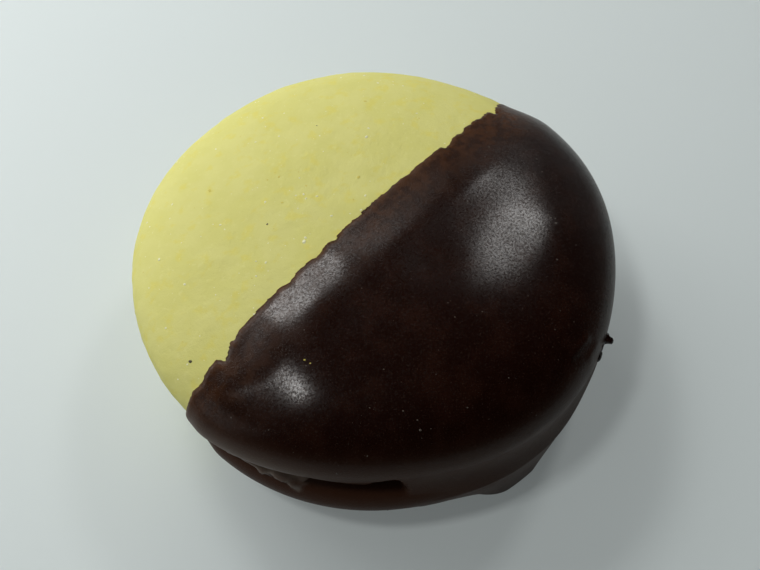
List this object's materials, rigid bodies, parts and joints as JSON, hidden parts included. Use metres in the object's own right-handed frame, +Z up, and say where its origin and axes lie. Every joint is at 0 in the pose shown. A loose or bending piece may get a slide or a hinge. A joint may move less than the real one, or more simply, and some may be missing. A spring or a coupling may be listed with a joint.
{
  "type": "lemon sandwich cookie",
  "caption": "Round lemon sandwich cookie of domed halves with cream between them, one side dipped in dark chocolate; food to eat by hand.",
  "frame": {"origin": "middle of the base, on the surface that the cookie lies on", "axes": "+X along the edge of the dip, chocolate on the -Y side, +Z up through both domes"},
  "size_m": [0.0502, 0.0486, 0.02],
  "materials": {
    "lemon_biscuit": "matte, fine grained",
    "lemon_cream": "matte, smooth",
    "dark_chocolate": "satin"
  },
  "bodies": {
    "root": {"upper_cookie": "lemon_biscuit", "lower_cookie": "lemon_biscuit", "lemon_cream": "lemon_cream", "chocolate_coat": "dark_chocolate"}
  },
  "joints": []
}
